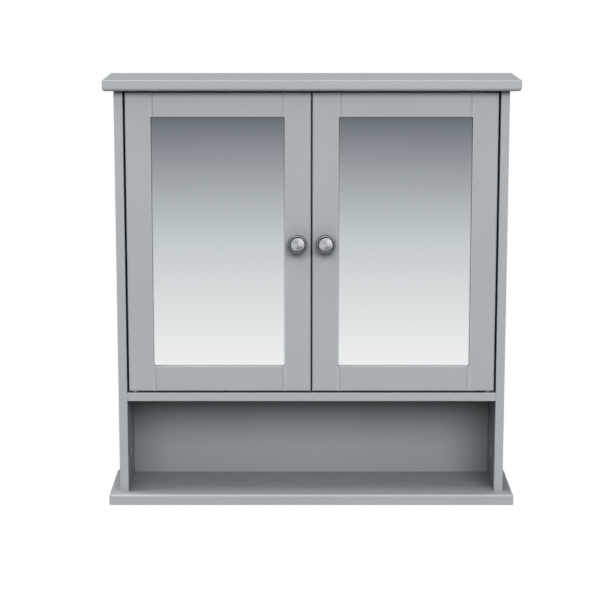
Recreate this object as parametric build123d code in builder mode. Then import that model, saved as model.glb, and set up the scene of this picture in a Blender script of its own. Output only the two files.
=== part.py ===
from build123d import *
import os

os.makedirs("parts", exist_ok=True)

# A hanging bathroom wall cabinet in painted fibreboard: two mirror doors above an open compartment.
# Millimetres. X runs across the cabinet, the wall is the plane y = 0, the front looks along -Y,
# and z = 0 is the height of the two wall screws in the hanging rail.

# Overall sizes
board_width = 560  # top and bottom boards, side to side
board_depth = 130  # top and bottom boards, wall to front edge
board_thickness = 15
cabinet_height = 587
case_width = 532  # over the two side panels
case_depth = 114.5  # wall to the front of sides, fixed shelf and doors
panel_thickness = 12  # sides, shelves and hanging rail
open_height = 129  # clear height of the open compartment
rail_height = 60  # hanging rail
wall_screw_spacing = 360
wall_screw_hole_radius = 2.75
wall_screw_head_radius = 5.5

# Board edges
corner_radius = 3  # front corners of the top and bottom boards, seen from above
top_lower_edge_radius = 4.5
top_upper_edge_radius = 1.2
bottom_upper_edge_radius = 3
bottom_lower_edge_radius = 0.8
panel_edge_radius = 1  # front edges of sides and shelves

# Back panel and its grooves
back_thickness = 3
back_from_wall = 8  # rear face of the back panel to the wall
groove_clearance = 0.1  # on each face of the back panel
groove_depth = 6
groove_end_clearance = 0.5

# Dowels, cam bolts and cam locks
dowel_radius = 3
dowel_fit = 0.05
dowel_in_face = 8  # length held in the face of the crossing board
dowel_in_edge = 17  # length held in the end of the board
dowel_end_clearance = 0.5
dowel_rows = (-25, -91)  # depths of the two dowels at each board end
cam_row = -60  # depth of the cam bolt at each board end
rail_dowel_height = 20  # above and below the middle of the hanging rail
cam_distance = 44  # board end to cam centre
cam_hole_radius = 6
cam_hole_depth = 9.5
cam_radius = 5.8
cam_thickness = 9
cam_inset = 0.2  # below the board's face
cam_bore_past_centre = 2.6
cam_slot_length = 7.6
cam_slot_width = 1.6
cam_slot_depth = 2.4
bolt_thread_radius = 2.9
bolt_thread_hole_radius = 3
bolt_thread_length = 9
bolt_shank_radius = 2.4
bolt_neck_radius = 1.5
bolt_neck_length = 3
bolt_head_length = 1.6
bolt_hole_clearance = 0.3

# Doors
door_thickness = 15
door_gap_side = 2.6
door_gap_centre = 1.6  # between the two doors
door_gap_bottom = 2.3
door_gap_top = 1.8
outer_stile_width = 34.3
inner_stile_width = 35.5
top_rail_width = 33.7
bottom_rail_width = 34.9
door_edge_radius = 2
opening_edge_radius = 0.6
lip_thickness = 5  # frame in front of the mirror
rebate_width = 6.7
tenon_length = 10
tenon_thickness = 4
tenon_inset = 6  # from the rail's outer edge and from the rebate
mortise_clearance = 0.1
line_groove_width = 4  # moulded line across each rail end, beside the stile
line_groove_flat = 1.4
line_groove_depth = 0.8
mirror_thickness = 3
backing_thickness = 3
mirror_clearance = 0.3  # to the rebate, all round
mirror_edge_chamfer = 0.3

# Retaining clips behind the mirror
clip_plate_length = 11
clip_plate_thickness = 1.6
clip_width = 12
clip_foot_length = 4.5
clip_foot_gap = 0.3  # to the rebate's wall
clip_screw_at = 6  # from the rebate's wall
clip_screw_radius = 1.5
clip_screw_length = 10  # in the frame
clip_head_radius = 3
clip_head_height = 1.8
pilot_clearance = 0.05

# Knobs
knob_from_centre = 19.1
knob_height = -177  # height of the knob's axis
knob_foot_radius = 7
knob_foot_thickness = 1.6
knob_neck_radius = 5.2
knob_neck_start = 3.2
knob_head_start = 13.2  # underside of the head's rim
knob_radius = 13.15
knob_side_height = 2.7
knob_groove_radius = 9.9  # foot of the round rim, inside
knob_disc_radius = 9.35
knob_disc_edge_height = 17
knob_disc_top_height = 17.6
knob_thread_radius = 2
knob_thread_depth = 9
knob_screw_radius = 1.95
knob_screw_reach = 8  # into the knob
knob_screw_hole_radius = 2.25
knob_screw_head_radius = 4
knob_screw_head_height = 2.4

# Pivot hinges
pivot_from_edge = 7.5  # door's outer edge to the pivot axis
pin_radius = 2.5
pin_running_clearance = 0.05
pin_in_door = 18
pin_in_bushing = 7.5
pin_hole_depth = 18.5
collar_radius = 3.2
collar_clearance = 0.05
bushing_radius = 3.98
bushing_length = 8.8
bushing_hole_radius = 4
bushing_hole_depth = 9

# Adjustable shelf
loose_shelf_side_gap = 1.5
loose_shelf_front = -90
loose_shelf_back = -12.5
pin_rows = (-28, -76)  # depths of the shelf pins
pin_heights = (-228, -178, -128)  # the three rows of pin holes
shelf_pin_radius = 2.45
shelf_pin_hole_radius = 2.5
shelf_pin_hole_depth = 8
shelf_pin_in_panel = 7.5
shelf_pin_length = 8  # under the shelf
shelf_pin_collar_radius = 4
shelf_pin_collar_thickness = 1.2

# Double magnetic catch under the top board
catch_from_centre = 18.5  # middle of each magnet
catch_half_width = 30
catch_ear_length = 10
catch_ear_thickness = 3
catch_front = -97.6
catch_back = -73.6
catch_height = 14
catch_corner_radius = 1
magnet_pocket_width = 16
magnet_pocket_depth = 16.5
magnet_pocket_floor = 3.4  # pocket's upper and lower walls
pole_thickness = 1.3
pole_width = 15.4
pole_length = 16
pole_front = -98.1
magnet_width = 14
magnet_front = -97
magnet_length = 14
catch_screw_radius = 1.75
catch_screw_length = 13
catch_screw_head_radius = 3.2
catch_screw_head_height = 2
strike_width = 24
strike_height = 13
strike_thickness = 1.2
strike_corner_radius = 2
strike_middle = 21  # height of the strike plate's middle
strike_screw_radius = 1.5
strike_screw_head_radius = 2.8
strike_screw_length = 10

# Cross recess in every screw head
recess_length_share = 1.3  # of the head's radius
recess_width = 0.9
recess_depth = 1.1

# Levels and faces worked out from the sizes above
case_top = rail_height / 2
case_bottom = case_top + 2 * board_thickness - cabinet_height
inner_x = case_width / 2 - panel_thickness
panel_middle_x = inner_x + panel_thickness / 2
back_front = -back_from_wall - back_thickness
groove_y = (back_front - groove_clearance, -back_from_wall + groove_clearance)
shelf_bottom = case_bottom + open_height
shelf_top = shelf_bottom + panel_thickness
shelf_middle = (shelf_bottom + shelf_top) / 2
rail_middle_y = -panel_thickness / 2
door_front = -case_depth
door_back = door_front + door_thickness
door_middle_y = (door_front + door_back) / 2
door_inner_x = door_gap_centre / 2
door_outer_x = inner_x - door_gap_side
door_bottom = shelf_top + door_gap_bottom
door_top = case_top - door_gap_top
opening_inner_x = door_inner_x + inner_stile_width
opening_outer_x = door_outer_x - outer_stile_width
opening_bottom = door_bottom + bottom_rail_width
opening_top = door_top - top_rail_width
opening_middle_x = (opening_inner_x + opening_outer_x) / 2
mirror_front = door_front + lip_thickness
mirror_back = mirror_front + mirror_thickness
backing_back = mirror_back + backing_thickness
pivot_x = door_outer_x - pivot_from_edge
loose_shelf_bottom = pin_heights[1] + shelf_pin_radius
cam_depth_below_face = panel_thickness / 2
sides = (("left", -1), ("right", 1))


def across(side, low, high):
    """The x range from low to high on the right, or its mirror image on the left."""
    return tuple(sorted((side * low, side * high)))


def block(x, y, z, mode=Mode.ADD):
    """A box over the ranges x, y and z, each (low, high), in the part being built."""
    with Locations((sum(x) / 2, sum(y) / 2, sum(z) / 2)):
        Box(x[1] - x[0], y[1] - y[0], z[1] - z[0], mode=mode)


def looking(direction, points):
    """A plane at each point that looks along direction, for holes that are entered against it."""
    return [Plane(origin=point, z_dir=direction) for point in points]


def rod(radius, low, high, mode=Mode.ADD):
    """A round rod along the local z axis, from low to high."""
    with Locations((0, 0, low)):
        Cylinder(radius, high - low, align=(Align.CENTER, Align.CENTER, Align.MIN), mode=mode)


def cross_recess(head_radius, head_top):
    """A cross-shaped driver recess in a screw head whose top is at head_top on the local z axis."""
    length = recess_length_share * head_radius
    with Locations((0, 0, head_top - recess_depth / 2)):
        Box(length, recess_width, recess_depth, mode=Mode.SUBTRACT)
        Box(recess_width, length, recess_depth, mode=Mode.SUBTRACT)


def screws(places, radius, length, head_radius, head_height, rest=0):
    """Screws with raised heads, one at each place, that bear at height rest on the local z axis."""
    crown_radius = head_radius - head_height / 2
    with Locations(*places):
        rod(radius, -length, rest)
        rod(head_radius, rest, rest + head_height / 2)
        with Locations((0, 0, rest + head_height * 3 / 4)):
            Cone(head_radius, crown_radius, head_height / 2)
        cross_recess(head_radius, rest + head_height)


def dowel_holes(places, length):
    """Holes for the length of dowel that one board holds: dowel_in_face or dowel_in_edge."""
    with Locations(*places):
        Hole(dowel_radius + dowel_fit, length + dowel_end_clearance)


def save(builder, label):
    """Names the finished piece and writes its file."""
    builder.part.label = label
    export_step(builder.part, f"parts/{label}.step")


# Where the ends of the boards meet their neighbours. Each joint has a row of dowels and one cam bolt.
up, down, rearward, forward = (0, 0, 1), (0, 0, -1), (0, 1, 0), (0, -1, 0)
top_dowels = [(side * panel_middle_x, y, case_top) for _, side in sides for y in dowel_rows]
bottom_dowels = [(side * panel_middle_x, y, case_bottom) for _, side in sides for y in dowel_rows]
shelf_dowels = {side: [(side * inner_x, y, shelf_middle) for y in dowel_rows] for _, side in sides}
rail_dowels = {
    side: [(side * inner_x, rail_middle_y, z) for z in (-rail_dowel_height, rail_dowel_height)]
    for _, side in sides
}
top_bolts = [(side * panel_middle_x, cam_row, case_top) for _, side in sides]
bottom_bolts = [(side * panel_middle_x, cam_row, case_bottom) for _, side in sides]
shelf_bolts = {side: (side * inner_x, cam_row, shelf_middle) for _, side in sides}
rail_bolts = {side: (side * inner_x, rail_middle_y, 0) for _, side in sides}
pivots = [(side * pivot_x, door_middle_y) for _, side in sides]
catch_screw_x = catch_half_width + catch_ear_length / 2
catch_middle_y = (catch_front + catch_back) / 2
catch_screw_places = looking(down, [(side * catch_screw_x, catch_middle_y, case_top) for _, side in sides])


# Top board, with rounded front and side edges
with BuildPart() as top_board:
    with BuildSketch(Plane.XY.offset(case_top)):
        with Locations((0, -board_depth / 2)):
            Rectangle(board_width, board_depth)
    extrude(amount=board_thickness)
    fillet(top_board.edges().filter_by(Axis.Z).group_by(Axis.Y)[0], corner_radius)
    under = top_board.faces().sort_by(Axis.Z)[0]
    fillet(under.edges().sort_by(Axis.Y)[:-1], top_lower_edge_radius)
    upper = top_board.faces().sort_by(Axis.Z)[-1]
    fillet(upper.edges().sort_by(Axis.Y)[:-1], top_upper_edge_radius)
    dowel_holes(looking(down, top_dowels), dowel_in_face)
    with Locations(*looking(down, top_bolts)):
        Hole(bolt_thread_hole_radius, bolt_thread_length + dowel_end_clearance)
    with Locations(*looking(down, [(x, y, case_top) for x, y in pivots])):
        Hole(bushing_hole_radius, bushing_hole_depth)
    with Locations(*catch_screw_places):
        Hole(catch_screw_radius + pilot_clearance, board_thickness - catch_ear_thickness)
save(top_board, "top_board")

# Bottom board, with a groove for the back panel
with BuildPart() as bottom_board:
    with BuildSketch(Plane.XY.offset(case_bottom - board_thickness)):
        with Locations((0, -board_depth / 2)):
            Rectangle(board_width, board_depth)
    extrude(amount=board_thickness)
    fillet(bottom_board.edges().filter_by(Axis.Z).group_by(Axis.Y)[0], corner_radius)
    upper = bottom_board.faces().sort_by(Axis.Z)[-1]
    fillet(upper.edges().sort_by(Axis.Y)[:-1], bottom_upper_edge_radius)
    under = bottom_board.faces().sort_by(Axis.Z)[0]
    fillet(under.edges().sort_by(Axis.Y)[:-1], bottom_lower_edge_radius)
    groove_end = inner_x + groove_depth
    block((-groove_end, groove_end), groove_y, (case_bottom - groove_depth, case_bottom), Mode.SUBTRACT)
    dowel_holes(looking(up, bottom_dowels), dowel_in_face)
    with Locations(*looking(up, bottom_bolts)):
        Hole(bolt_thread_hole_radius, bolt_thread_length + dowel_end_clearance)
save(bottom_board, "bottom_board")

# Side panels
for name, side in sides:
    inward = (-side, 0, 0)
    with BuildPart() as side_panel:
        with BuildSketch(Plane.XY.offset(case_bottom)):
            with Locations((side * panel_middle_x, -case_depth / 2)):
                Rectangle(panel_thickness, case_depth)
        extrude(amount=case_top - case_bottom)
        fillet(side_panel.edges().filter_by(Axis.Z).group_by(Axis.Y)[0], panel_edge_radius)
        groove_x = across(side, inner_x, inner_x + groove_depth)
        block(groove_x, groove_y, (case_bottom, groove_depth - rail_height / 2), Mode.SUBTRACT)
        top_end = [place for place in looking(up, top_dowels) if place.origin.X * side > 0]
        bottom_end = [place for place in looking(down, bottom_dowels) if place.origin.X * side > 0]
        dowel_holes(looking(inward, shelf_dowels[side] + rail_dowels[side]), dowel_in_face)
        dowel_holes(top_end + bottom_end, dowel_in_edge)
        with Locations(*looking(inward, [shelf_bolts[side], rail_bolts[side]])):
            Hole(bolt_thread_hole_radius, bolt_thread_length + dowel_end_clearance)
        bolt_ends = [(up, case_top), (down, case_bottom)]
        for direction, end in bolt_ends:
            with Locations(*looking(direction, [(side * panel_middle_x, cam_row, end)])):
                Hole(bolt_shank_radius + bolt_hole_clearance, cam_distance)
        cam_heights = (case_top - cam_distance, case_bottom + cam_distance)
        with Locations(*looking(inward, [(side * inner_x, cam_row, z) for z in cam_heights])):
            Hole(cam_hole_radius, cam_hole_depth)
        with Locations(*looking(inward, [(side * inner_x, y, z) for y in pin_rows for z in pin_heights])):
            Hole(shelf_pin_hole_radius, shelf_pin_hole_depth)
    save(side_panel, f"side_panel_{name}")

# Fixed shelf under the doors, flush with them at the front
with BuildPart() as middle_shelf:
    with BuildSketch(Plane.XY.offset(shelf_bottom)):
        with Locations((0, (back_front - case_depth) / 2)):
            Rectangle(2 * inner_x, back_front + case_depth)
    extrude(amount=panel_thickness)
    fillet(middle_shelf.edges().filter_by(Axis.X).group_by(Axis.Y)[0], panel_edge_radius)
    for _, side in sides:
        outward = (side, 0, 0)
        dowel_holes(looking(outward, shelf_dowels[side]), dowel_in_edge)
        with Locations(*looking(outward, [shelf_bolts[side]])):
            Hole(bolt_shank_radius + bolt_hole_clearance, cam_distance)
        with Locations(*looking(down, [(side * (inner_x - cam_distance), cam_row, shelf_bottom)])):
            Hole(cam_hole_radius, cam_hole_depth)
    with Locations(*looking(up, [(x, y, shelf_top) for x, y in pivots])):
        Hole(bushing_hole_radius, bushing_hole_depth)
save(middle_shelf, "middle_shelf")

# Hanging rail: the two wall screws go through it from inside the cabinet
with BuildPart() as hanging_rail:
    with BuildSketch(Plane.XY.offset(-rail_height / 2)):
        with Locations((0, rail_middle_y)):
            Rectangle(2 * inner_x, panel_thickness)
    extrude(amount=rail_height)
    block((-inner_x, inner_x), groove_y, (-rail_height / 2, groove_depth - rail_height / 2), Mode.SUBTRACT)
    for _, side in sides:
        outward = (side, 0, 0)
        dowel_holes(looking(outward, rail_dowels[side]), dowel_in_edge)
        with Locations(*looking(outward, [rail_bolts[side]])):
            Hole(bolt_shank_radius + bolt_hole_clearance, cam_distance)
        with Locations(*looking(rearward, [(side * (inner_x - cam_distance), 0, 0)])):
            Hole(cam_hole_radius, cam_hole_depth)
    screw_points = [(side * wall_screw_spacing / 2, -panel_thickness, 0) for _, side in sides]
    with Locations(*looking(forward, screw_points)):
        CounterSinkHole(wall_screw_hole_radius, wall_screw_head_radius, panel_thickness)
save(hanging_rail, "hanging_rail")

# Back panel of thin hardboard, held in grooves on all four sides
with BuildPart() as back_panel:
    tongue = groove_depth - groove_end_clearance
    with BuildSketch(Plane.XY.offset(case_bottom - tongue)):
        with Locations((0, (back_front - back_from_wall) / 2)):
            Rectangle(2 * (inner_x + tongue), back_thickness)
    extrude(amount=tongue - rail_height / 2 - (case_bottom - tongue))
save(back_panel, "back_panel")

# Wooden dowels
dowel_places = looking(up, top_dowels) + looking(down, bottom_dowels)
for _, side in sides:
    dowel_places += looking((side, 0, 0), shelf_dowels[side] + rail_dowels[side])
with BuildPart() as wooden_dowels:
    with Locations(*dowel_places):
        rod(dowel_radius, -dowel_in_edge, dowel_in_face)
save(wooden_dowels, "wooden_dowels")

# Cam bolts: the thread sits in the face of one board, the head reaches the cam in the end of the other
bolt_places = looking(up, top_bolts) + looking(down, bottom_bolts)
for _, side in sides:
    bolt_places += looking((side, 0, 0), [shelf_bolts[side], rail_bolts[side]])
with BuildPart() as cam_bolts:
    head_end = -cam_distance
    neck_end = head_end + bolt_head_length
    shank_end = neck_end + bolt_neck_length
    with Locations(*bolt_places):
        rod(bolt_thread_radius, 0, bolt_thread_length)
        rod(bolt_shank_radius, shank_end, 0)
        rod(bolt_neck_radius, neck_end, shank_end)
        rod(bolt_shank_radius, head_end, neck_end)
save(cam_bolts, "cam_bolts")

# Cam locks: local z looks out of the board's face, local x points along the bolt to the board's end
cam_planes = []
for _, side in sides:
    inward, outward = (-side, 0, 0), (side, 0, 0)
    cam_x = side * (inner_x - cam_distance)
    cam_planes += [
        Plane(origin=(side * inner_x, cam_row, case_top - cam_distance), x_dir=up, z_dir=inward),
        Plane(origin=(side * inner_x, cam_row, case_bottom + cam_distance), x_dir=down, z_dir=inward),
        Plane(origin=(cam_x, cam_row, shelf_bottom), x_dir=outward, z_dir=down),
        Plane(origin=(cam_x, 0, 0), x_dir=outward, z_dir=rearward),
    ]
with BuildPart() as cam_locks:
    with Locations(*cam_planes):
        rod(cam_radius, -cam_inset - cam_thickness, -cam_inset)
        with Locations((0, 0, -cam_inset - cam_slot_depth / 2)):
            Box(cam_slot_length, cam_slot_width, cam_slot_depth, mode=Mode.SUBTRACT)
            Box(cam_slot_width, cam_slot_length, cam_slot_depth, mode=Mode.SUBTRACT)
        with Locations(Location((-cam_bore_past_centre, 0, -cam_depth_below_face), (0, 90, 0))):
            rod(bolt_shank_radius + bolt_hole_clearance, 0, 2 * cam_radius, Mode.SUBTRACT)
save(cam_locks, "cam_locks")

# Nylon bushings that the door pins turn in, flush with the boards
bushing_places = looking(up, [(x, y, shelf_top) for x, y in pivots])
bushing_places += looking(down, [(x, y, case_top) for x, y in pivots])
with BuildPart() as pivot_bushings:
    with Locations(*bushing_places):
        rod(bushing_radius, -bushing_length, 0)
        rod(pin_radius + pin_running_clearance, -bushing_length, 0, Mode.SUBTRACT)
save(pivot_bushings, "pivot_bushings")

# Adjustable shelf on four collared pins
with BuildPart() as adjustable_shelf:
    with BuildSketch(Plane.XY.offset(loose_shelf_bottom)):
        with Locations((0, (loose_shelf_front + loose_shelf_back) / 2)):
            Rectangle(2 * (inner_x - loose_shelf_side_gap), loose_shelf_back - loose_shelf_front)
    extrude(amount=panel_thickness)
    fillet(adjustable_shelf.edges().filter_by(Axis.X).group_by(Axis.Y)[0], panel_edge_radius)
save(adjustable_shelf, "adjustable_shelf")

pin_places = []
for _, side in sides:
    pin_places += looking((-side, 0, 0), [(side * inner_x, y, pin_heights[1]) for y in pin_rows])
with BuildPart() as shelf_pins:
    with Locations(*pin_places):
        rod(shelf_pin_radius, -shelf_pin_in_panel, shelf_pin_length)
        rod(shelf_pin_collar_radius, 0, shelf_pin_collar_thickness)
save(shelf_pins, "shelf_pins")

# Magnetic catch: housing, magnets between steel pole plates, and its two screws
catch_bottom = case_top - catch_height
pocket_z = (catch_bottom + magnet_pocket_floor, case_top - magnet_pocket_floor)
magnet_centres = (-catch_from_centre, catch_from_centre)
with BuildPart() as catch_body:
    block((-catch_half_width, catch_half_width), (catch_front, catch_back), (catch_bottom, case_top))
    fillet(catch_body.edges().filter_by(Axis.Z), catch_corner_radius)
    ear_end = catch_half_width + catch_ear_length
    ear_y = (catch_front + catch_ear_length / 2, catch_back - catch_ear_length / 2)
    block((-ear_end, ear_end), ear_y, (case_top - catch_ear_thickness, case_top))
    for x in magnet_centres:
        pocket_x = (x - magnet_pocket_width / 2, x + magnet_pocket_width / 2)
        block(pocket_x, (catch_front, catch_front + magnet_pocket_depth), pocket_z, Mode.SUBTRACT)
    with Locations(*catch_screw_places):
        rod(catch_screw_radius + bolt_hole_clearance, 0, catch_ear_thickness, Mode.SUBTRACT)
save(catch_body, "catch_body")

with BuildPart() as catch_pole_plates:
    for x in magnet_centres:
        pole_x = (x - pole_width / 2, x + pole_width / 2)
        pole_y = (pole_front, pole_front + pole_length)
        block(pole_x, pole_y, (pocket_z[0], pocket_z[0] + pole_thickness))
        block(pole_x, pole_y, (pocket_z[1] - pole_thickness, pocket_z[1]))
save(catch_pole_plates, "catch_pole_plates")

with BuildPart() as catch_magnets:
    for x in magnet_centres:
        magnet_x = (x - magnet_width / 2, x + magnet_width / 2)
        magnet_z = (pocket_z[0] + pole_thickness, pocket_z[1] - pole_thickness)
        block(magnet_x, (magnet_front, magnet_front + magnet_length), magnet_z)
save(catch_magnets, "catch_magnets")

with BuildPart() as catch_screws:
    screws(
        catch_screw_places,
        catch_screw_radius,
        catch_screw_length - catch_ear_thickness,
        catch_screw_head_radius,
        catch_screw_head_height,
        catch_ear_thickness,
    )
save(catch_screws, "catch_screws")


def open_frame(side):
    """Cuts the rebate for mirror and backing, and the opening, out of a door's frame member."""
    rebate_x = across(side, opening_inner_x - rebate_width, opening_outer_x + rebate_width)
    rebate_z = (opening_bottom - rebate_width, opening_top + rebate_width)
    block(rebate_x, (mirror_front, door_back), rebate_z, Mode.SUBTRACT)


def round_stile(stile, outer_face, with_back_edge):
    """Rounds the edges of a stile: front ones at its outer face and ends, maybe the outer back one."""
    front_face = stile.faces().filter_by(Axis.Y).sort_by(Axis.Y)[0]
    long_edges = outer_face.edges().filter_by(Axis.Z).sort_by(Axis.Y)
    if not with_back_edge:
        long_edges = long_edges[:1]
    fillet(long_edges + front_face.edges().filter_by(Axis.X), door_edge_radius)


def clip_pilots(seats):
    """Pilot holes for the clip screws in a door's frame member."""
    with Locations(*seats):
        with Locations((clip_screw_at, 0, 0)):
            Hole(clip_screw_radius + pilot_clearance, clip_screw_length + dowel_end_clearance)


# Doors: each is a frame of two stiles and two rails around a mirror
for name, side in sides:
    door = f"{name}_door"
    towards_outside = Axis((0, 0, 0), (side, 0, 0))
    door_y = (door_front, door_back)
    tenon_y = (mirror_front + mortise_clearance, mirror_front + mortise_clearance + tenon_thickness)
    mortise_y = (mirror_front, tenon_y[1] + mortise_clearance)
    top_tenon_z = (opening_top + rebate_width + tenon_inset / 2, door_top - tenon_inset)
    bottom_tenon_z = (door_bottom + tenon_inset, opening_bottom - rebate_width - tenon_inset / 2)
    mortise_length = tenon_length + mortise_clearance
    knob_centre = (side * knob_from_centre, door_front, knob_height)

    # Seats of the mirror clips: local x points from the rebate onto the frame, local z out of the back
    opening_height = opening_top - opening_bottom
    quarters = (opening_bottom + opening_height / 4, opening_top - opening_height / 4)
    clip_edges = {
        "outer_stile": [((side * (opening_outer_x + rebate_width), z), (side, 0, 0)) for z in quarters],
        "inner_stile": [((side * (opening_inner_x - rebate_width), z), (-side, 0, 0)) for z in quarters],
        "top_rail": [((side * opening_middle_x, opening_top + rebate_width), up)],
        "bottom_rail": [((side * opening_middle_x, opening_bottom - rebate_width), down)],
    }
    clip_seats = {
        member: [Plane((x, door_back, z), x_dir=onto, z_dir=rearward) for (x, z), onto in seats]
        for member, seats in clip_edges.items()
    }
    strike_seat = Plane(origin=(side * catch_from_centre, door_back, strike_middle), z_dir=rearward)

    with BuildPart() as outer_stile:
        block(across(side, opening_outer_x, door_outer_x), door_y, (door_bottom, door_top))
        round_stile(outer_stile, outer_stile.faces().sort_by(towards_outside)[-1], True)
        open_frame(side)
        for low, high in (top_tenon_z, bottom_tenon_z):
            mortise_x = across(side, opening_outer_x, opening_outer_x + mortise_length)
            mortise_z = (low - mortise_clearance, high + mortise_clearance)
            block(mortise_x, mortise_y, mortise_z, Mode.SUBTRACT)
        pin_points = ((down, door_bottom), (up, door_top))
        for direction, end in pin_points:
            with Locations(*looking(direction, [(side * pivot_x, door_middle_y, end)])):
                Hole(pin_radius + pilot_clearance, pin_hole_depth)
        clip_pilots(clip_seats["outer_stile"])
    save(outer_stile, f"{door}_outer_stile")

    with BuildPart() as inner_stile:
        block(across(side, door_inner_x, opening_inner_x), door_y, (door_bottom, door_top))
        round_stile(inner_stile, inner_stile.faces().sort_by(towards_outside)[0], False)
        open_frame(side)
        for low, high in (top_tenon_z, bottom_tenon_z):
            mortise_x = across(side, opening_inner_x - mortise_length, opening_inner_x)
            mortise_z = (low - mortise_clearance, high + mortise_clearance)
            block(mortise_x, mortise_y, mortise_z, Mode.SUBTRACT)
        with Locations(*looking(forward, [knob_centre])):
            Hole(knob_screw_hole_radius, door_thickness)
        clip_pilots(clip_seats["inner_stile"])
        with Locations(strike_seat):
            Hole(strike_screw_radius + pilot_clearance, strike_screw_length + dowel_end_clearance)
    save(inner_stile, f"{door}_inner_stile")

    rails = (
        ("top_rail", (opening_top, door_top), top_tenon_z, -1),
        ("bottom_rail", (door_bottom, opening_bottom), bottom_tenon_z, 0),
    )
    for rail_name, rail_z, tenon_z, outer_edge in rails:
        rail_x = across(side, opening_inner_x, opening_outer_x)
        with BuildPart() as door_rail:
            block(rail_x, door_y, (rail_z[0], rail_z[1]))
            front_edges = door_rail.edges().filter_by(Axis.X).group_by(Axis.Y)[0].sort_by(Axis.Z)
            fillet(front_edges[outer_edge], door_edge_radius)
            open_frame(side)
            inner_edge = -1 - outer_edge
            front_face = door_rail.faces().filter_by(Axis.Y).sort_by(Axis.Y)[0]
            fillet(front_face.edges().filter_by(Axis.X).sort_by(Axis.Z)[inner_edge], opening_edge_radius)
            tenon_x = (rail_x[0] - tenon_length, rail_x[1] + tenon_length)
            block(tenon_x, tenon_y, tenon_z)
            flat_start = (line_groove_width - line_groove_flat) / 2
            flat_end = flat_start + line_groove_flat
            groove_floor = door_front + line_groove_depth
            with BuildSketch(Plane.XY.offset(rail_z[0])):
                for end, inwards in ((rail_x[0], 1), (rail_x[1], -1)):
                    with BuildLine():
                        Polyline(
                            (end, door_front),
                            (end + inwards * flat_start, groove_floor),
                            (end + inwards * flat_end, groove_floor),
                            (end + inwards * line_groove_width, door_front),
                            close=True,
                        )
                    make_face()
            extrude(amount=rail_z[1] - rail_z[0], mode=Mode.SUBTRACT)
            clip_pilots(clip_seats[rail_name])
        save(door_rail, f"{door}_{rail_name}")

    glass_edge = rebate_width - mirror_clearance
    glass_x = across(side, opening_inner_x - glass_edge, opening_outer_x + glass_edge)
    glass_z = (opening_bottom - glass_edge, opening_top + glass_edge)
    with BuildPart() as mirror_glass:
        block(glass_x, (mirror_front, mirror_back), glass_z)
        chamfer(mirror_glass.edges(), mirror_edge_chamfer)
    save(mirror_glass, f"{door}_mirror")

    with BuildPart() as backing:
        block(glass_x, (mirror_back, backing_back), glass_z)
    save(backing, f"{door}_backing")

    clip_places = [place for places in clip_seats.values() for place in places]
    with BuildPart() as clips:
        with Locations(*clip_places):
            foot_depth = door_back - backing_back
            block(
                (-clip_foot_length, clip_plate_length),
                (-clip_width / 2, clip_width / 2),
                (0, clip_plate_thickness),
            )
            block((-clip_foot_length, -clip_foot_gap), (-clip_width / 2, clip_width / 2), (-foot_depth, 0))
            with Locations((clip_screw_at, 0, 0)):
                rod(clip_screw_radius + bolt_hole_clearance, 0, clip_plate_thickness, Mode.SUBTRACT)
    save(clips, f"{door}_clips")

    screw_places = [place.location * Location((clip_screw_at, 0, 0)) for place in clip_places]
    with BuildPart() as clip_screws:
        screws(
            screw_places,
            clip_screw_radius,
            clip_screw_length,
            clip_head_radius,
            clip_head_height,
            clip_plate_thickness,
        )
    save(clip_screws, f"{door}_clip_screws")

    # Knob: turned on its own axis, which runs straight out of the door's front
    knob_plane = Plane(origin=knob_centre, x_dir=(1, 0, 0), z_dir=down)
    with BuildPart() as knob:
        with BuildSketch(knob_plane):
            with BuildLine():
                Polyline((0, 0), (knob_foot_radius, 0), (knob_foot_radius, knob_foot_thickness))
                Line((knob_foot_radius, knob_foot_thickness), (knob_neck_radius, knob_neck_start))
                neck_end = knob_head_start - (knob_radius - knob_neck_radius) / 2
                Line((knob_neck_radius, knob_neck_start), (knob_neck_radius, neck_end))
                RadiusArc(
                    (knob_neck_radius, neck_end),
                    (knob_radius, knob_head_start),
                    knob_radius,
                )
                side_top = knob_head_start + knob_side_height
                Line((knob_radius, knob_head_start), (knob_radius, side_top))
                rim_radius = (knob_radius - knob_groove_radius) / 2
                ThreePointArc(
                    (knob_radius, side_top),
                    (knob_radius - rim_radius, side_top + rim_radius),
                    (knob_groove_radius, side_top),
                )
                Line((knob_groove_radius, side_top), (knob_disc_radius, knob_disc_edge_height))
                Line((knob_disc_radius, knob_disc_edge_height), (0, knob_disc_top_height))
                Line((0, knob_disc_top_height), (0, 0))
            make_face()
        revolve(axis=Axis(knob_centre, forward))
        with Locations(*looking(rearward, [knob_centre])):
            Hole(knob_thread_radius, knob_thread_depth)
    save(knob, f"{door}_knob")

    with BuildPart() as knob_screw:
        knob_screw_seat = Plane(origin=(side * knob_from_centre, door_back, knob_height), z_dir=rearward)
        reach = door_thickness + knob_screw_reach
        screws([knob_screw_seat], knob_screw_radius, reach, knob_screw_head_radius, knob_screw_head_height)
    save(knob_screw, f"{door}_knob_screw")

    # Strike plate for the catch, on the back of the inner stile
    with BuildPart() as strike_plate:
        strike_x = across(side, catch_from_centre - strike_width / 2, catch_from_centre + strike_width / 2)
        strike_z = (strike_middle - strike_height / 2, strike_middle + strike_height / 2)
        block(strike_x, (door_back, door_back + strike_thickness), strike_z)
        fillet(strike_plate.edges().filter_by(Axis.Y), strike_corner_radius)
        with Locations(strike_seat.offset(strike_thickness)):
            CounterSinkHole(strike_screw_radius, strike_screw_head_radius, strike_thickness)
    save(strike_plate, f"{door}_strike_plate")

    with BuildPart() as strike_screw:
        with Locations(strike_seat):
            rod(strike_screw_radius, -strike_screw_length, 0)
            with Locations((0, 0, strike_thickness / 2)):
                Cone(strike_screw_radius, strike_screw_head_radius, strike_thickness)
    save(strike_screw, f"{door}_strike_screw")

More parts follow.
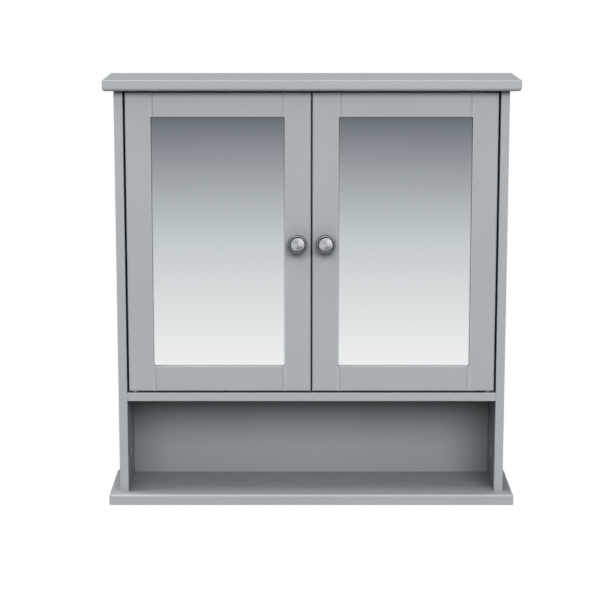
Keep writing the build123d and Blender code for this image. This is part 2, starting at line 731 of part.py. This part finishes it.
    # Pivot pins at both ends of the outer stile; the lower one's collar carries the door
    with BuildPart() as pivot_pins:
        with Locations((side * pivot_x, door_middle_y, 0)):
            rod(pin_radius, shelf_top - pin_in_bushing, door_bottom + pin_in_door)
            rod(collar_radius, shelf_top + collar_clearance, door_bottom)
            rod(pin_radius, door_top - pin_in_door, case_top + pin_in_bushing)
    save(pivot_pins, f"{door}_pivot_pins")
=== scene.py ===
import math

import bmesh
import bpy
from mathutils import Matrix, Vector


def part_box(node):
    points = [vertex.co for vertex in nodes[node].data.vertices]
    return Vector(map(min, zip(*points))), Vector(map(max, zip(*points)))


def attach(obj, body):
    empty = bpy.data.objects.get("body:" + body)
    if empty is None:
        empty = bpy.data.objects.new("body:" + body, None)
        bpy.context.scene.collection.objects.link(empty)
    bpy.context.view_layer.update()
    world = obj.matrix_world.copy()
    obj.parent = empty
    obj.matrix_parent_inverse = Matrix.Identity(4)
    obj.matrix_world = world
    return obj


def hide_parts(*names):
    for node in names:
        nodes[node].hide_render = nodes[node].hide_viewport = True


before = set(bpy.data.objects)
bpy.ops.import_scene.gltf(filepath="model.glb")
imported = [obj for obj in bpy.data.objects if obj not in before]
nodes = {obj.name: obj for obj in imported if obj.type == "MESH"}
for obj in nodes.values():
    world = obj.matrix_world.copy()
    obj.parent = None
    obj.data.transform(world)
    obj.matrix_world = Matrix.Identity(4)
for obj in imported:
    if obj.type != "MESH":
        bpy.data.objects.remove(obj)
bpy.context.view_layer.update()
scene = bpy.context.scene
mm = 0.001
print("frame loaded,", len(nodes), "CAD nodes")


class Wire:  # a socket that can stand in a sum
    def __init__(self, finish, socket):
        self.finish = finish
        self.socket = socket

    def maths(self, operation, *others):
        values = dict(enumerate((self, *others)))
        return self.finish.node("Math", {"operation": operation}, values)

    def output(self, name):  # another output of the same node
        return Wire(self.finish, self.socket.node.outputs[name])

    def __add__(self, other):
        return self.maths("ADD", other)

    def __sub__(self, other):
        return self.maths("SUBTRACT", other)

    def __rsub__(self, other):  # a number minus a wire
        return self.maths("MULTIPLY_ADD", -1.0, other)

    def __mul__(self, other):
        return self.maths("MULTIPLY", other)

    __radd__ = __add__
    __rmul__ = __mul__


cornerRays = 8  # rays that look for a corner, and for an edge
edgeRays = 6


class Finish:  # a node tree being filled: a material's, or the room's
    def __init__(self, owner, shaderName="Principled BSDF", coordinates="Object"):
        owner.use_nodes = True
        self.owner = owner
        self.tree = owner.node_tree
        self.shader = self.tree.nodes[shaderName]
        self.place = self.node("TexCoord").output(coordinates)

    def socket(self, sockets, key):
        if isinstance(key, int):
            return sockets[key]
        return next(found for found in sockets if found.name == key and not found.is_unavailable)

    def feed(self, node, values):
        for key, value in values.items():
            target = self.socket(node.inputs, key)
            if isinstance(value, Wire):
                self.tree.links.new(value.socket, target)
            else:
                target.default_value = value

    def node(self, kind, settings=(), values=()):
        made = self.tree.nodes.new("ShaderNode" + kind)
        for setting, value in dict(settings).items():
            if setting == "stops":
                self.fillRamp(made.color_ramp, value)
            else:
                setattr(made, setting, value)
        self.feed(made, dict(values))
        return Wire(self, next(found for found in made.outputs if not found.is_unavailable))

    def fillRamp(self, ramp, stops):
        while len(ramp.elements) < len(stops):
            ramp.elements.new(0.5)  # it is moved to its own place below
        for element, (position, colour) in zip(ramp.elements, stops):
            element.position = position
            element.color = (*colour, 1)

    def ramp(self, wire, stops):
        return self.node("ValToRGB", {"stops": stops}, {"Fac": wire})

    def axes(self):
        split = self.node("SeparateXYZ", {}, {"Vector": self.place})
        return [split.output(axis) for axis in "XYZ"]

    def point(self, x, y, z):
        return self.node("CombineXYZ", {}, {"X": x, "Y": y, "Z": z})

    def noise(self, scale, detail, roughness, place=None):
        values = {"Vector": place or self.place, "Scale": scale, "Detail": detail, "Roughness": roughness}
        return self.node("TexNoise", {}, values)

    def spread(self, wire, low, high):  # low and high are what a wire's 0 and 1 become
        return wire * (high - low) + low

    def step(self, wire, start, end):  # smooth step from 0 at start to 1 at end
        settings = {"interpolation_type": "SMOOTHSTEP"}
        return self.node("MapRange", settings, {"Value": wire, "From Min": start, "From Max": end})

    def mix(self, mask, first, second):
        settings = {"data_type": "RGBA"}
        return self.node("Mix", settings, {"Factor": mask, "A": solid(first), "B": solid(second)})

    def closed(self, reach):  # 0 in the open, 1 deep in a corner
        settings = {"samples": cornerRays}
        return 1 - self.node("AmbientOcclusion", settings, {"Distance": reach}).output("AO")

    def exposed(self, reach):  # 0 on the flat, more the sharper an outer edge is
        settings = {"samples": edgeRays, "inside": True}
        return 1 - self.node("AmbientOcclusion", settings, {"Distance": reach}).output("AO")

    def bump(self, height, distance):
        return self.node("Bump", {}, {"Height": height, "Distance": distance, "Strength": 1.0})

    def surface(self, values):
        self.feed(self.shader, values)
        return self.owner


def solid(colour):
    return colour if isinstance(colour, Wire) else (*colour, 1)


def newFinish(name, constants=()):
    finish = Finish(bpy.data.materials.new(name))
    finish.surface(dict(constants))
    return finish


def smallest(*wires):
    found = wires[0]
    for wire in wires[1:]:
        found = found.maths("MINIMUM", wire)
    return found


# A pattern below is a noise's scale, detail and roughness. A mask is where its smooth step starts and ends.
rawBoard = {
    "light": (0.46, 0.32, 0.19),
    "dark": (0.27, 0.17, 0.09),
    "fibres": (1900, 3, 0.7),
    "lumps": (260, 2, 0.5),
    "lumpShare": 0.3,
    "mask": (0.36, 0.62),
    "roughness": 0.86,
    "relief": 0.05 * mm,
}


def boardCore(finish):  # colour and height of bare fibreboard
    fibres = finish.noise(*rawBoard["fibres"])
    lumps = finish.noise(*rawBoard["lumps"])
    share = rawBoard["lumpShare"]
    mask = finish.step(fibres * (1 - share) + lumps * share, *rawBoard["mask"])
    return finish.mix(mask, rawBoard["dark"], rawBoard["light"]), fibres


hardboard = {
    "light": (0.25, 0.135, 0.062),
    "dark": (0.13, 0.066, 0.030),
    "fibres": (1300, 3, 0.7),
    "mask": (0.36, 0.66),
    "mesh": 1.6 * mm,  # pitch of the screen pattern pressed into the rear
    "meshTint": 0.08,
    "meshShare": 0.35,  # of the mesh and of the fibres in the relief
    "fibreShare": 0.5,
    "relief": 0.12 * mm,
    "roughness": 0.8,
    "gloss": (300, 2, 0.5),
    "backingRoughness": (0.7, 0.85),
}


def hardboardRear(finish):  # colour and height of hardboard's meshed rear
    x, _, z = finish.axes()
    turns = 2 * math.pi / hardboard["mesh"]
    weave = (x * turns).maths("SINE") * (z * turns).maths("SINE")
    fibres = finish.noise(*hardboard["fibres"])
    mask = finish.step(fibres + weave * hardboard["meshTint"], *hardboard["mask"])
    height = weave * hardboard["meshShare"] + fibres * hardboard["fibreShare"]
    return finish.mix(mask, hardboard["dark"], hardboard["light"]), height


paint = {
    "colour": (0.352, 0.372, 0.388),
    "cloud": (0.364, 0.384, 0.400),  # the lighter end of its slow drift
    "drift": (7, 2, 0.4),
    "driftMask": (0.3, 0.7),
    "recess": (0.140, 0.150, 0.158),  # painted shade, darkest deep in corners, recesses and gaps
    "recessReach": 0.2,
    "edge": (0.50, 0.52, 0.535),  # painted highlight along the sharp edges, in patches like rubbed paint
    "edgeHighlightReach": 1.5 * mm,
    "edgeMask": (0.12, 0.5),
    "wearAndHighlight": (90, 3, 0.6),
    "wearAndHighlightMask": (0.2, 0.55),
    "gloss": (60, 3, 0.6),
    "glossMask": (0.3, 0.7),
    "roughness": (0.48, 0.58),
    "peel": (420, 1, 0.4),
    "peelHeight": 0.012 * mm,
    "dust": (2600, 1, 0.5),
    "dustHeight": 0.004 * mm,
    "skin": 1.0 * mm,  # how far inside its outline a board still has paint on it
    "thickSkin": 1.7 * mm,  # the same where the edges are rounder
    "thickSkinned": ("top_board", "bottom_board"),
    "skinFade": 0.25 * mm,
}
backPaint = {  # a darker coat over brown board
    "colour": (0.330, 0.350, 0.365),
    "cloud": (0.342, 0.362, 0.377),
    "skin": 0.3 * mm,
    "skinFade": 0.3 * mm,
    "roughness": 0.42,
}


def driftingCoat(finish, coat):
    mask = finish.step(finish.noise(*paint["drift"]), *paint["driftMask"])
    return finish.mix(mask, coat["colour"], coat["cloud"])


def paintedBoard(node):
    finish = newFinish(node)
    low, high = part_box(node)
    x, y, z = finish.axes()
    depths = [x - low.x, high.x - x, y - low.y, z - low.z, high.z - z]
    if "door" in node:  # a door's rear is painted too
        depths.append(high.y - y)
    skin = paint["thickSkin" if node in paint["thickSkinned"] else "skin"]
    bare = finish.step(smallest(*depths), skin, skin + paint["skinFade"])
    # painted highlight along the sharp edges, broken into patches of wear
    edges = finish.step(finish.exposed(paint["edgeHighlightReach"]), *paint["edgeMask"])
    wearAndHighlight = finish.step(finish.noise(*paint["wearAndHighlight"]), *paint["wearAndHighlightMask"])
    coat = finish.mix(edges * wearAndHighlight, driftingCoat(finish, paint), paint["edge"])
    # painted shade in corners and recesses, from an occlusion mask
    coat = finish.mix(finish.closed(paint["recessReach"]), coat, paint["recess"])
    core, fibres = boardCore(finish)
    gloss = finish.step(finish.noise(*paint["gloss"]), *paint["glossMask"])
    smooth = finish.spread(gloss, *paint["roughness"])
    peel = finish.noise(*paint["peel"]) * paint["peelHeight"]
    dust = finish.noise(*paint["dust"]) * paint["dustHeight"]
    height = (1 - bare) * (peel + dust) + bare * fibres * rawBoard["relief"]
    return finish.surface({
        "Base Color": finish.mix(bare, coat, core),
        "Roughness": bare * rawBoard["roughness"] + (1 - bare) * smooth,
        "Normal": finish.bump(height, 1.0),
    })


def paintedHardboard(node):
    finish = newFinish(node)
    low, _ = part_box(node)
    _, y, _ = finish.axes()
    skinEnd = low.y + backPaint["skin"]
    bare = finish.step(y, skinEnd, skinEnd + backPaint["skinFade"])
    coat = driftingCoat(finish, backPaint)
    # painted shade in corners and recesses, from an occlusion mask
    coat = finish.mix(finish.closed(paint["recessReach"]), coat, paint["recess"])
    rear, weave = hardboardRear(finish)
    peel = finish.noise(*paint["peel"])
    height = (1 - bare) * peel * paint["peelHeight"] + bare * weave * hardboard["relief"]
    return finish.surface({
        "Base Color": finish.mix(bare, coat, rear),
        "Roughness": bare * hardboard["roughness"] + (1 - bare) * backPaint["roughness"],
        "Normal": finish.bump(height, 1.0),
    })


def brownHardboard(node):
    finish = newFinish(node)
    rear, weave = hardboardRear(finish)
    gloss = finish.noise(*hardboard["gloss"])
    return finish.surface({
        "Base Color": rear,
        "Roughness": finish.spread(gloss, *hardboard["backingRoughness"]),
        "Normal": finish.bump(weave, hardboard["relief"]),
    })


beech = {
    "light": (0.62, 0.42, 0.24),
    "dark": (0.45, 0.27, 0.13),
    "grain": (900, 4, 0.6),
    "stretch": 0.2,  # the grain runs along the dowel
    "mask": (0.35, 0.65),
    "roughness": (0.55, 0.75),
    "relief": 0.05 * mm,
}


def dowelWood(node):
    finish = newFinish(node)
    x, y, z = finish.axes()
    grain = finish.noise(*beech["grain"], finish.point(x * beech["stretch"], y, z))
    return finish.surface({
        "Base Color": finish.mix(finish.step(grain, *beech["mask"]), beech["dark"], beech["light"]),
        "Roughness": finish.spread(grain, *beech["roughness"]),
        "Normal": finish.bump(grain, beech["relief"]),
    })


silver = {
    "colour": (0.93, 0.94, 0.945),
    "edge": (0.70, 0.72, 0.72),
    "edgeMask": (0.2 * mm, 1.2 * mm),
    "seamShade": (0.38, 0.40, 0.41),  # painted shade where it meets the frame
    "seamReach": 3.0 * mm,
    "seamMask": (0.1, 0.5),
    "smears": (35, 4, 0.6),
    "smearMask": (0.45, 0.8),
    "roughness": (0.004, 0.03),
}


def mirrorGlass(node):
    finish = newFinish(node, {"Metallic": 1.0})
    low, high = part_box(node)
    x, _, z = finish.axes()
    inside = finish.step(smallest(x - low.x, high.x - x, z - low.z, high.z - z), *silver["edgeMask"])
    glass = finish.mix(inside, silver["edge"], silver["colour"])
    # painted shade in a thin line where the glass meets the frame
    seamShade = finish.step(finish.closed(silver["seamReach"]), *silver["seamMask"])
    smear = finish.step(finish.noise(*silver["smears"]), *silver["smearMask"])
    return finish.surface({
        "Base Color": finish.mix(seamShade, glass, silver["seamShade"]),
        "Roughness": finish.spread(smear, *silver["roughness"]),
    })


plating = {"blotches": (160, 3, 0.6), "mask": (0.35, 0.65)}
steel = {
    "colour": (0.66, 0.67, 0.68),
    "shade": (0.52, 0.53, 0.55),
    "roughness": (0.26, 0.42),
    "grain": (700, 3, 0.6),
    "relief": 0.01 * mm,
}
alloy = {
    "colour": (0.72, 0.73, 0.74),
    "shade": (0.56, 0.57, 0.58),
    "roughness": (0.4, 0.6),
    "grain": (1500, 3, 0.6),
    "relief": 0.03 * mm,
}


def plated(node, metal):
    finish = newFinish(node, {"Metallic": 1.0})
    blotches = finish.step(finish.noise(*plating["blotches"]), *plating["mask"])
    grain = finish.noise(*metal["grain"])
    return finish.surface({
        "Base Color": finish.mix(blotches, metal["shade"], metal["colour"]),
        "Roughness": finish.spread(grain, *metal["roughness"]),
        "Normal": finish.bump(grain, metal["relief"]),
    })


def zincSteel(node):
    return plated(node, steel)


def zincAlloy(node):
    return plated(node, alloy)


moulding = {
    "flow": (120, 2, 0.5),
    "mask": (0.35, 0.65),
    "grain": (2200, 2, 0.6),
    "relief": 0.02 * mm,
}
plastics = {
    "nylon": {
        "colour": (0.80, 0.79, 0.74),
        "shade": (0.74, 0.73, 0.67),
        "roughness": (0.38, 0.5),
        "softness": {"Subsurface Weight": 0.3, "Subsurface Radius": (0.002, 0.002, 0.0015)},
    },
    "catch": {
        "colour": (0.83, 0.84, 0.84),
        "shade": (0.79, 0.80, 0.81),
        "roughness": (0.3, 0.4),
        "softness": {},
    },
    "clip": {
        "colour": (0.74, 0.77, 0.78),
        "shade": (0.68, 0.71, 0.72),
        "roughness": (0.22, 0.32),
        "softness": {"Subsurface Weight": 0.4, "Subsurface Radius": (0.003, 0.003, 0.003)},
    },
    "ferrite": {
        "colour": (0.045, 0.043, 0.042),
        "shade": (0.03, 0.029, 0.03),
        "roughness": (0.5, 0.7),
        "softness": {},
    },
}


def moulded(node, plastic):
    finish = newFinish(node, plastic["softness"])
    flow = finish.step(finish.noise(*moulding["flow"]), *moulding["mask"])
    grain = finish.noise(*moulding["grain"])
    return finish.surface({
        "Base Color": finish.mix(flow, plastic["shade"], plastic["colour"]),
        "Roughness": finish.spread(grain, *plastic["roughness"]),
        "Normal": finish.bump(grain, moulding["relief"]),
    })


def nylon(node):
    return moulded(node, plastics["nylon"])


def catchPlastic(node):
    return moulded(node, plastics["catch"])


def clipPlastic(node):
    return moulded(node, plastics["clip"])


def ferrite(node):
    return moulded(node, plastics["ferrite"])


brushed = {
    "disc": (0.59, 0.595, 0.61),
    "shade": (0.34, 0.345, 0.36),
    "discRadius": 9.3 * mm,
    "discFade": 0.15 * mm,
    "shadedRing": (0.125, 0.13, 0.142),  # painted dark reflection on the rim and neck
    "crestHighlight": (0.33, 0.335, 0.35),  # painted highlight along the rim's crest, most at the top
    "crestRadius": 11.55 * mm,
    "crestWidth": 0.75 * mm,
    "crestRise": (-12 * mm, 4 * mm),
    "roughness": (0.36, 0.50),
    "ringRoughness": 0.52,
    "marks": (1.0, 2, 0.7),
    "marksAlong": (4200, 1.3),  # how often they change, per metre of radius and per radian
    "relief": 0.05 * mm,
    "ringRelief": 0.1,  # the share of it that the ring has
    "streaks": (1.0, 3, 0.6),
    "streaksAlong": (900, 2.2),
    "streaksAway": 3.0,  # so that they don't repeat the marks
    "fanTurn": 0.40,  # where the painted highlight fan points, in radians
    "fanShare": 0.6,
    "fanMask": (0.25, 0.8),
}


def brushedKnob(node):
    finish = newFinish(node, {"Metallic": 1.0})
    low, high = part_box(node)
    x, _, z = finish.axes()
    across = x - (low.x + high.x) / 2
    upward = z - (low.z + high.z) / 2
    radius = (across * across + upward * upward).maths("SQRT")
    angle = upward.maths("ARCTAN2", across)
    perMetre, perRadian = brushed["marksAlong"]
    marks = finish.noise(*brushed["marks"], finish.point(radius * perMetre, angle * perRadian, 0.0))
    perMetre, perRadian = brushed["streaksAlong"]
    streakPlace = finish.point(radius * perMetre, angle * perRadian, brushed["streaksAway"])
    streaks = finish.noise(*brushed["streaks"], streakPlace)
    highlightFan = ((angle - brushed["fanTurn"]) * 2).maths("COSINE") * 0.5 + 0.5  # painted highlight, bright on two opposite sides
    share = brushed["fanShare"]
    tone = finish.step(streaks * (1 - share) + highlightFan * share, *brushed["fanMask"])
    disc = finish.mix(tone, brushed["shade"], brushed["disc"])
    # a painted highlight along the rim's crest, strongest at the top
    fromCrest = (radius - brushed["crestRadius"]).maths("ABSOLUTE")
    crestHighlight = 1 - finish.step(fromCrest, 0, brushed["crestWidth"])
    crestHighlight = crestHighlight * finish.step(upward, *brushed["crestRise"])
    shadedRing = finish.mix(crestHighlight, brushed["shadedRing"], brushed["crestHighlight"])
    inRing = finish.step(radius, brushed["discRadius"], brushed["discRadius"] + brushed["discFade"])
    smooth = finish.spread(marks, *brushed["roughness"])
    return finish.surface({
        "Base Color": finish.mix(inRing, disc, shadedRing),
        "Roughness": (1 - inRing) * smooth + inRing * brushed["ringRoughness"],
        "Normal": finish.bump((1 - inRing * (1 - brushed["ringRelief"])) * marks, brushed["relief"]),
    })


finishBySlot = {
    "painted_board": paintedBoard,
    "painted_hardboard": paintedHardboard,
    "brown_hardboard": brownHardboard,
    "dowel_wood": dowelWood,
    "mirror_glass": mirrorGlass,
    "brushed_knob": brushedKnob,
    "zinc_steel": zincSteel,
    "zinc_alloy": zincAlloy,
    "nylon": nylon,
    "catch_plastic": catchPlastic,
    "clip_plastic": clipPlastic,
    "ferrite": ferrite,
}

for name, node in nodes.items():
    slotName = node.data.materials[0].name
    node.data.materials[0] = finishBySlot[slotName](name)
print("finishes on the CAD nodes done")


knob = {  # lengths in millimetres, heights from the door's face
    "foot": (7.0, 1.6, 0.3),  # radius, height, rounding
    "neck": (5.2, 3.2),  # radius, height of its chamfer
    "neckChamfer": (0.5, 0.4),  # out and down, then up
    "flareStart": 8.4,
    "flareEnd": 13.0,
    "rim": (1.625, 15.975),  # rounding, height of its middle
    "groove": (9.72, 9.46, 14.9),  # outer radius, inner radius, floor height
    "discEdge": (9.35, 16.75, 0.35),  # radius, height where it turns in, its rounding
    "footSteps": 3,
    "curveSteps": 12,
    "rimSteps": 20,
    "discSteps": 4,
    "turnSteps": 128,
    "sharpAngle": 35,
}
mergeDistance = 0.001 * mm


def arc(middle, radius, start, end, steps):  # points on a round stretch of a profile, in degrees
    turns = [math.radians(start + (end - start) * step / steps) for step in range(steps + 1)]
    return [(middle[0] + radius * math.cos(turn), middle[1] + radius * math.sin(turn)) for turn in turns]


def knobProfile(radius, height):
    footRadius, footHeight, footRounding = knob["foot"]
    neckRadius, neckHeight = knob["neck"]
    chamferDown, chamferUp = knob["neckChamfer"]
    rimRounding, rimHeight = knob["rim"]
    grooveOuter, grooveInner, grooveFloor = knob["groove"]
    discRadius, discHeight, discRounding = knob["discEdge"]
    flatRadius = footRadius - footRounding
    points = [(0, 0), (flatRadius, 0)]
    points += arc((flatRadius, footHeight - footRounding), footRounding, 0, 90, knob["footSteps"])
    points += [(neckRadius + chamferDown, neckHeight - chamferDown), (neckRadius, neckHeight + chamferUp)]
    steps = knob["curveSteps"]
    for step in range(steps + 1):  # the flare, a quarter of an ellipse
        turn = math.radians(90 * step / steps)
        reach = (radius - neckRadius) * (1 - math.cos(turn))
        rise = (knob["flareEnd"] - knob["flareStart"]) * math.sin(turn)
        points.append((neckRadius + reach, knob["flareStart"] + rise))
    points += arc((radius - rimRounding, rimHeight), rimRounding, 0, 180, knob["rimSteps"])
    points += [(grooveOuter, grooveFloor), (grooveInner, grooveFloor)]
    domeRadius = discRadius - discRounding
    domeFoot = discHeight + discRounding
    points += arc((domeRadius, discHeight), discRounding, 0, 90, knob["discSteps"])
    for step in range(1, steps + 1):  # the disc's low dome, to its middle
        share = 1 - step / steps
        points.append((domeRadius * share, domeFoot + (height - domeFoot) * (1 - share ** 2)))
    return [(across * mm, up * mm) for across, up in points]


def turned(profile, steps):  # a lathe shape round its own Y axis, from (radius, height) points
    shape = bmesh.new()
    corners = [shape.verts.new((radius, -height, 0)) for radius, height in profile]
    edges = [shape.edges.new(pair) for pair in zip(corners, corners[1:])]
    bmesh.ops.spin(
        shape, geom=corners + edges, cent=(0, 0, 0), axis=(0, 1, 0), dvec=(0, 0, 0),
        angle=2 * math.pi, steps=steps, use_merge=True,
    )
    bmesh.ops.remove_doubles(shape, verts=shape.verts, dist=mergeDistance)
    bmesh.ops.recalc_face_normals(shape, faces=shape.faces)
    return shape


def newObject(name, shape, material):
    mesh = bpy.data.meshes.new(name)
    shape.to_mesh(mesh)
    shape.free()
    mesh.materials.append(material)
    made = bpy.data.objects.new(name, mesh)
    scene.collection.objects.link(made)
    return made


for side in ("left", "right"):
    node = side + "_door_knob"
    low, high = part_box(node)
    profile = knobProfile((high.x - low.x) / 2 / mm, (high.y - low.y) / mm)
    shape = turned(profile, knob["turnSteps"])
    middle = Vector(((low.x + high.x) / 2, high.y, (low.z + high.z) / 2))
    bmesh.ops.translate(shape, verts=shape.verts, vec=middle)
    piece = newObject(side + "Knob", shape, nodes[node].data.materials[0])
    piece.data.shade_smooth()
    piece.data.set_sharp_from_angle(angle=math.radians(knob["sharpAngle"]))
    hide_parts(node)
    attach(piece, side + "_door")
print("knobs turned")


unlit = {"Base Color": (0, 0, 0, 1), "Specular IOR Level": 0.0, "Roughness": 1.0, "Emission Strength": 1.0}


def stagePiece(name, shape, material, hiddenFrom):
    piece = newObject(name, shape, material)
    for ray in hiddenFrom:
        setattr(piece, "visible_" + ray, False)


room = {
    "white": (1, 1, 1),
    "floor": -1.65,
    "floorRadius": 80,
    "floorSides": 64,
    "glow": [  # how bright the air is, from straight down to straight up
        (0.0, (0.13, 0.13, 0.132)),
        (0.48, (0.13, 0.13, 0.132)),
        (0.52, (0.04, 0.04, 0.041)),
        (1.0, (0.06, 0.06, 0.061)),
    ],
}
floorFinish = newFinish("floor", unlit | {"Emission Color": solid(room["white"])})
shape = bmesh.new()
bmesh.ops.create_circle(shape, cap_ends=True, segments=room["floorSides"], radius=room["floorRadius"])
bmesh.ops.translate(shape, verts=shape.verts, vec=(0, 0, room["floor"]))
stagePiece("floor", shape, floorFinish.owner, ("diffuse", "glossy", "transmission", "shadow"))

scene.world = bpy.data.worlds.new("room")
air = Finish(scene.world, "Background", "Generated")
_, _, upward = air.axes()
glow = air.ramp(upward * 0.5 + 0.5, room["glow"])
seen = air.node("LightPath").output("Is Camera Ray")
air.surface({"Color": air.mix(seen, glow, room["white"]), "Strength": 1.0})

reflector = {  # an unlit screen round the front, for the mirrors to see
    "radius": 4.0,
    "sides": 96,
    "top": -0.30,
    "bottom": -2.3,
    "openBehind": 1.4,  # it stops this far behind the cabinet
    "fade": (-0.377, -2.2),  # the heights between which its tones change
    "stops": [
        (0.0, (0.140, 0.163, 0.180)),
        (0.023, (0.20, 0.22, 0.245)),
        (0.231, (0.60, 0.64, 0.65)),
        (0.462, (0.92, 0.92, 0.92)),
        (0.62, (0.60, 0.60, 0.60)),
        (1.0, (0.20, 0.20, 0.20)),
    ],
}
screenFinish = newFinish("reflector", unlit)
_, _, height = screenFinish.axes()
fadeTop, fadeFoot = reflector["fade"]
share = screenFinish.node("MapRange", {}, {"Value": height, "From Min": fadeTop, "From Max": fadeFoot})
screenFinish.surface({"Emission Color": screenFinish.ramp(share, reflector["stops"])})
drop = reflector["top"] - reflector["bottom"]
shape = bmesh.new()
bmesh.ops.create_cone(
    shape, cap_ends=False, segments=reflector["sides"],
    radius1=reflector["radius"], radius2=reflector["radius"], depth=drop,
)
bmesh.ops.translate(shape, verts=shape.verts, vec=(0, 0, reflector["bottom"] + drop / 2))
bmesh.ops.bisect_plane(
    shape, geom=shape.verts[:] + shape.edges[:] + shape.faces[:],
    plane_co=(0, reflector["openBehind"], 0), plane_no=(0, 1, 0), clear_outer=True,
)
stagePiece("reflector", shape, screenFinish.owner, ("camera", "diffuse", "shadow"))

softboxes = {  # azimuth, elevation, side length, power; azimuth 0 is in front, positive to the right
    "rightFront": (18, 26, 4.2, 560),
    "leftFront": (-14, 26, 4.2, 338),
    "leftHigh": (-55, 66, 3.6, 110),
    "leftSide": (-90, 60, 3.6, 600),
    "overhead": (0, 62, 3.6, 38),
    "rightSide": (105, -8, 3.6, 220),
    "rear": (160, -5, 3.6, 260),
}
softboxDistance = 9
softboxAim = Vector((0, -0.06, -0.25))


def hangSoftbox(name, azimuth, elevation, side, power):
    turn, rise = math.radians(azimuth), math.radians(elevation)
    outward = Vector((math.sin(turn) * math.cos(rise), -math.cos(turn) * math.cos(rise), math.sin(rise)))
    lamp = bpy.data.lights.new(name, "AREA")
    lamp.shape = "SQUARE"
    lamp.size = side
    lamp.energy = power
    holder = bpy.data.objects.new(name, lamp)
    holder.location = softboxAim + outward * softboxDistance
    holder.rotation_euler = (-outward).to_track_quat("-Z", "Y").to_euler()
    scene.collection.objects.link(holder)


for name, box in softboxes.items():
    hangSoftbox(name, *box)

view = {
    "place": (-0.0158, -2.786, 0.2496),
    "pitch": 10.71,
    "lens": 119.37,
    "sensor": 36,
    "clipEnd": 400,
}
camera = bpy.data.cameras.new("camera")
camera.sensor_width = view["sensor"]
camera.lens = view["lens"]
camera.clip_end = view["clipEnd"]
cameraHolder = bpy.data.objects.new("camera", camera)
cameraHolder.location = view["place"]
cameraHolder.rotation_euler = (math.radians(90 - view["pitch"]), 0, 0)
scene.collection.objects.link(cameraHolder)
scene.camera = cameraHolder
scene.view_settings.view_transform = "Standard"
print("stage, lights and camera done")
